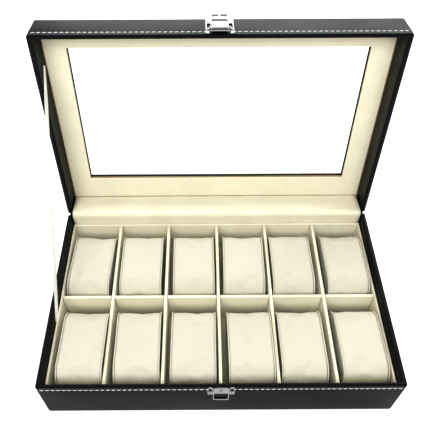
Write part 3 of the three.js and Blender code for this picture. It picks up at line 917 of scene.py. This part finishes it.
def points_towards(start, end, steps):
    """Evenly spaced points from start to just short of end."""
    return [start.lerp(end, i / steps) for i in range(steps)]


def make_hinge_lining():
    """Cream strip: up behind the back liner, round the two rims and along the lid's back wall."""
    radius = END_WALL + LINING_CLEAR
    open_end = TO_LID @ Vector((0, HALF_Y - radius, LINING_LID_END))
    foot = Vector((0, HINGE.y - radius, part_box("hinge_lining")[0].z))
    front = hinge_point(radius, 0)
    top = hinge_point(radius, LID_ANGLE)
    path = points_towards(foot, front, 10)
    path += [hinge_point(radius, LID_ANGLE * i / 12) for i in range(12)]
    path += points_towards(top, open_end, 14) + [open_end]
    points, faces = strip_mesh(path, LINING_HALF, LINING_THICK, columns=60, ripple=0.22 * MM, seed=1)
    piece = new_piece("hinge_lining_cloth", points, faces, LINING, "base",
                      ["hinge_lining"], ride=False)
    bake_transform(piece)


def make_hinge_spine():
    """Black strip outside: up the back of the base and out along the lid's back wall."""
    y = HALF_Y + SPINE_CLEAR
    foot = Vector((0, y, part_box("hinge_spine")[0].z))
    knee = Vector((0, y, HINGE.z - SPINE_KNEE))
    leave = TO_LID @ Vector((0, y, SPINE_LEAVE))
    end = TO_LID @ Vector((0, y, SPINE_LID_END))
    bend = Vector((0, y, HINGE.z - SPINE_CLEAR))
    path = points_towards(foot, knee, 10)
    for i in range(9):
        s = i / 9
        path.append(knee.lerp(bend, s).lerp(bend.lerp(leave, s), s))
    path += points_towards(leave, end, 10) + [end]
    points, faces = strip_mesh(path, SPINE_HALF, SPINE_THICK, columns=40, ripple=0.05 * MM, seed=2)
    piece = new_piece("hinge_spine_strip", points, faces, LEATHERETTE, "base",
                      ["hinge_spine"], ride=False)
    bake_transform(piece)


RIBBON_WIDTH = 10 * MM
RIBBON_FOOT = Vector((0, -23 * MM, 38.6 * MM))
RIBBON_LID_Y = -59 * MM
RIBBON_LID_UP = 17 * MM
RIBBON_CLEAR = 0.17 * MM    # off the left wall
RIBBON_THICK = 0.12 * MM
RIBBON_GATHER_FROM = 0.86   # share of the length where it starts to narrow to its head


def make_ribbon():
    """White satin on the left, taut from behind the liner to the lid's side wall."""
    x = -HALF_X + SIDE_WALL + RIBBON_CLEAR
    head = TO_LID @ Vector((0, RIBBON_LID_Y, RIBBON_LID_UP))
    foot = RIBBON_FOOT
    run = (head - foot).normalized()
    across = Vector((0, -run.z, run.y))
    rows, columns = 90, 8
    points = []
    for side in (0, 1):
        for i in range(rows + 1):
            for c in range(columns + 1):
                s, w = i / rows, c / columns - 0.5
                middle = foot.lerp(head, s)
                edge = 0.06 * MM * math.cos(math.pi * w) ** 2
                curl = 0.25 * MM * math.sin(math.pi * s) ** 2 * (1 + math.sin(9 * s)) / 2
                face_x = x + side * RIBBON_THICK + edge * (2 * side - 1) * 0.5 + curl
                gather = 1 - 0.55 * max(0.0, (s - RIBBON_GATHER_FROM) / (1 - RIBBON_GATHER_FROM)) ** 1.3
                q = middle + across * RIBBON_WIDTH * gather * w
                points.append(Vector((face_x, q.y, q.z)))
    faces = two_layer_faces(rows, columns)
    piece = new_piece("stay_ribbon_satin", points, faces, RIBBON_SATIN, "base",
                      ["stay_ribbon"], ride=False)
    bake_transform(piece)


# ---- Latch --------------------------------------------------------------------------------
# A plate's outline is (low x, high x, low z, high z). Heights on the lid are up from its rim.

def front_ring(outline, radius, y, trim=0.0):
    """A ring in a plane that faces -Y, its outline drawn in by trim."""
    low_x, high_x, low_z, high_z = outline
    round_to = max(0.1 * MM, radius - trim)
    points = rectangle(low_x + trim, high_x - trim, low_z + trim, high_z - trim, round_to)
    return [Vector((p.x, y, p.y)) for p in points]


def plate_rings(outline, radius, back, front, edge):
    """From the back of a plate over its rounded edge to its front."""
    rings = [front_ring(outline, radius, back)]
    for a, rise in quarter_round(4):
        rings.append(front_ring(outline, radius, front + edge * (1 - rise), a * edge))
    return rings


def front_plate(outline, radius, back, front, edge):
    """A closed plate with rounded edges between y = back and y = front, as (points, faces)."""
    rings = plate_rings(outline, radius, back, front, edge)
    return [p for ring in rings for p in ring], capped_faces(len(rings), POINTS_ROUND)


def framed_plate(outline, radius, hole, hole_radius, back, front, edge):
    """The same plate with a hole through it, its edge rounded too."""
    rings = plate_rings(outline, radius, back, front, edge)
    for a, rise in reversed(quarter_round(4)):
        rings.append(front_ring(hole, hole_radius, front + edge * (1 - rise), -a * edge))
    rings.append(front_ring(hole, hole_radius, back))
    points = [p for ring in rings for p in ring]
    return points, loft_faces(len(rings), POINTS_ROUND, closed=True)


def joined(*shapes):
    """Several (points, faces) as one."""
    points, faces = [], []
    for more, more_faces in shapes:
        first = len(points)
        points += more
        faces += [tuple(first + k for k in face) for face in more_faces]
    return points, faces


PLATE_HALF = 11.2 * MM
PLATE_FRONT = 1.0 * MM      # off the leatherette
EAR_IN = 6.4 * MM           # inner edge of a plate's ear
SLOT_X = (7.3 * MM, 10.1 * MM)
KEEPER_BODY_HALF = 6.7 * MM
KEEPER_FACE = 1.4 * MM      # raised face, off the leatherette
KEEPER_WINDOW = (-5.7 * MM, 5.7 * MM, 29.2 * MM, 40.6 * MM)
KEEPER_EAR = (38 * MM, 50.6 * MM)
KEEPER_SLOT = (40.2 * MM, 49.4 * MM)
KEEPER_CATCH = (43.8 * MM, 49.6 * MM)
LATCH_EAR = (0.8 * MM, 27.6 * MM)
LATCH_SLOT = (5.4 * MM, 18.5 * MM)
BARREL_RADIUS = 2.0 * MM
KNUCKLE_X = 7.6 * MM        # middle of each knuckle of the latch plate
KNUCKLE_HALF = 0.8 * MM
SCREW_RADIUS = 1.9 * MM
SCREW_HEIGHT = 0.95 * MM
BLADE_THICK = 0.9 * MM
BLADE_HALF = 6.4 * MM
BLADE_CORNER = 1.2 * MM
NOTCH_FROM = 21.5 * MM      # up from the pin
NOTCH_DEPTH = 0.8 * MM
NOTCH_HALF = 0.7 * MM
# The hasp's blade from the barrel to its lip: (distance from the pin, how far its face stands out), mm
BLADE_FACE = (
    (0.6, 1.85), (1.4, 1.5), (2.2, 1.0), (3.0, 0.75), (6.0, 0.85), (10.0, 0.8), (14.0, 0.6), (14.6, 0.75),
    (14.9, 1.45), (15.4, 1.6), (18.0, 1.62), (21.0, 1.5), (21.5, 1.65), (21.8, 2.3), (22.2, 2.45),
    (23.6, 2.45), (24.1, 2.3), (24.4, 2.0),
)


def ears(ear, slot):
    """The two slotted ends of a plate, as (points, faces)."""
    back, front = -HALF_Y - PROUD, -HALF_Y - PLATE_FRONT
    made = []
    for sign in (-1, 1):
        outline = (*sorted((sign * EAR_IN, sign * PLATE_HALF)), *ear)
        hole = (*sorted((sign * SLOT_X[0], sign * SLOT_X[1])), *slot)
        made.append(framed_plate(outline, 1.2 * MM, hole, 0.9 * MM, back, front, 0.3 * MM))
    return joined(*made)


def keeper_body():
    """The raised body under the hasp: a rounded frame whose window shows the leatherette."""
    low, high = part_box("keeper_plate")
    outline = (-KEEPER_BODY_HALF, KEEPER_BODY_HALF, low.z, high.z)
    back, front = -HALF_Y - PROUD, -HALF_Y - KEEPER_FACE
    return framed_plate(outline, 1.9 * MM, KEEPER_WINDOW, 1.0 * MM, back, front, 0.45 * MM)


def chevron(front):
    """The small catch on the keeper, shaped like a roof, as a low bevelled ridge."""
    low, high = KEEPER_CATCH
    half_x, arm, rise = 1.7 * MM, 0.85 * MM, 0.6 * MM
    outline = [
        (0, high), (half_x, low), (half_x - arm, low),
        (0, high - 2.6 * arm), (-half_x + arm, low), (-half_x, low),
    ]
    middle = (low + high) / 2
    points = []
    for y, shrink in ((front + 0.1 * MM, 1.0), (front - 0.6 * rise, 1.0), (front - rise, 0.8)):
        points += [Vector((x * shrink, y, middle + (z - middle) * shrink)) for x, z in outline]
    return points, capped_faces(3, len(outline))


def screw_shape(centre, radius, height):
    """A pan head with a cross recess, facing -Y, as (points, faces)."""
    around, rings = 32, 7
    turns = turns_round(around)
    points = [centre + Vector((radius * math.cos(a), 0, radius * math.sin(a))) for a in turns]
    for i in range(rings):
        share = i / rings
        r = radius * math.cos(0.5 * math.pi * share) ** 0.55
        y = centre.y - height * math.sin(0.5 * math.pi * share)
        for a in turns:
            across = min(abs(math.cos(a + 0.6)), abs(math.sin(a + 0.6))) * r
            sink = 0.45 * height if across < 0.16 * radius and r < 0.62 * radius else 0
            points.append(Vector((centre.x + r * math.cos(a), y + sink, centre.z + r * math.sin(a))))
    points.append(Vector((centre.x, centre.y - 0.5 * height, centre.z)))
    faces = loft_faces(rings + 1, around, closed=False)
    faces.append(tuple(range(around)))
    tip = len(points) - 1
    last = rings * around
    faces += [(last + j, last + (j + 1) % around, tip) for j in range(around)]
    return points, faces


def tube_x(radius, half, centre_y, centre_z, around=24):
    """A round bar along X with softened ends, as (points, faces)."""
    soft, near_end = 0.85 * radius, half - 0.15 * MM
    rings = [(-half, soft), (-near_end, radius), (near_end, radius), (half, soft)]
    turns = turns_round(around)
    points = []
    for x, r in rings:
        points += [Vector((x, centre_y + r * math.cos(a), centre_z + r * math.sin(a))) for a in turns]
    return points, capped_faces(len(rings), around)


def shifted(shape, x):
    points, faces = shape
    return [p + Vector((x, 0, 0)) for p in points], faces


def make_keeper():
    catch = chevron(-HALF_Y - KEEPER_FACE)
    points, faces = joined(ears(KEEPER_EAR, KEEPER_SLOT), keeper_body(), catch)
    piece = new_piece("keeper_metal", points, faces, NICKEL, "base", ["keeper_plate"])
    piece.modifiers.new("normals", "WEIGHTED_NORMAL")
    for side in ("left", "right"):
        make_screw(f"keeper_screw_{side}", "base", Matrix.Identity(4))


def make_screw(node, body, move):
    low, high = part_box(node)
    middle = move.inverted() @ ((low + high) / 2)
    centre = Vector((middle.x, -HALF_Y - PLATE_FRONT, middle.z))
    points, faces = screw_shape(centre, SCREW_RADIUS, SCREW_HEIGHT)
    piece = new_piece(f"{node}_head", [move @ p for p in points], faces, NICKEL, body, [node])
    piece.modifiers.new("normals", "WEIGHTED_NORMAL")


def make_latch_plate():
    wall = -HALF_Y - PROUD
    axis = TO_LID.inverted() @ HASP_AXIS
    middle_half = EAR_IN + 0.4 * MM
    behind_blade = (-middle_half, middle_half, axis.z + BARREL_RADIUS, LATCH_EAR[1])
    middle = front_plate(behind_blade, 0.3 * MM, wall, -HALF_Y - PLATE_FRONT, 0.1 * MM)
    knuckle = tube_x(BARREL_RADIUS, KNUCKLE_HALF, axis.y, axis.z)
    web_outline = (-KNUCKLE_HALF, KNUCKLE_HALF, axis.z - KNUCKLE_HALF, axis.z + BARREL_RADIUS)
    web = front_plate(web_outline, 0.2 * MM, wall, axis.y, 0.15 * MM)
    pieces = [ears(LATCH_EAR, LATCH_SLOT), middle]
    for x in (-KNUCKLE_X, KNUCKLE_X):
        pieces += [shifted(knuckle, x), shifted(web, x)]
    points, faces = joined(*pieces)
    piece = new_piece("latch_plate_metal", [TO_LID @ p for p in points], faces, NICKEL, "lid",
                      ["latch_plate"])
    piece.modifiers.new("normals", "WEIGHTED_NORMAL")
    for side in ("left", "right"):
        make_screw(f"latch_screw_{side}", "lid", TO_LID)


def make_hasp():
    """The hasp: barrel, a blade stepped outward once, and a notched finger lip."""
    axis = TO_LID.inverted() @ HASP_AXIS
    columns = 24
    length = BLADE_FACE[-1][0] * MM
    points = []
    for side in (0, 1):
        for along_mm, out_mm in BLADE_FACE:
            z, out = along_mm * MM, out_mm * MM
            near_end = max(0.0, z - (length - BLADE_CORNER))
            pull = BLADE_CORNER - math.sqrt(max(0.0, BLADE_CORNER ** 2 - near_end ** 2))
            for c in range(columns + 1):
                w = 2 * c / columns - 1
                x = w * (BLADE_HALF - pull)
                rounding = 0.3 * MM * abs(w) ** 8
                notch = NOTCH_DEPTH * math.exp(-(x / NOTCH_HALF) ** 4) if z > NOTCH_FROM else 0.0
                y = axis.y - out + side * BLADE_THICK + (rounding if side == 0 else -0.5 * rounding)
                points.append(Vector((x, y + notch * (1 - side), axis.z + z)))
    blade = points, two_layer_faces(len(BLADE_FACE) - 1, columns)
    barrel = tube_x(BARREL_RADIUS, BLADE_HALF, axis.y, axis.z, 48)
    points, faces = joined(blade, barrel)
    piece = new_piece("hasp_metal", [TO_LID @ p for p in points], faces, NICKEL, "hasp",
                      ["hasp"])
    piece.modifiers.new("normals", "WEIGHTED_NORMAL")


# ---- Everything ---------------------------------------------------------------------------

def finish_cad_nodes():
    """The boards, glass, pin and underside keep their CAD shape and get a full material."""
    for entry in frame["record"]["subparts"]:
        node = frame["nodes"][entry["node"]]
        node.data.materials.clear()
        node.data.materials.append(SLOT_MATERIALS[entry["material_slot"]])


def set_tones():
    view = bpy.context.scene.view_settings
    view.view_transform = "Standard"
    view.look = "High Contrast"


make_camera()
make_world()
make_light("front_softbox", (-0.15, -0.85, 1.05), (0, 0.02, 0.08), (1.5, 0.7), 18, glossy=False)
make_light("back_softbox", (0.35, 1.25, 1.15), (0, 0, 0.1), (1.7, 0.7), 17)
make_light("back_strip", (0.1, 1.6, 0.66), (0, 0.1, 0.2), (1.6, 0.5), 6.5)
make_floor()
set_tones()
finish_cad_nodes()
make_base_shell()
make_lid_shell()
make_stitching()
make_lining()
make_pillows()
make_hinge_lining()
make_hinge_spine()
make_ribbon()
make_keeper()
make_latch_plate()
make_hasp()
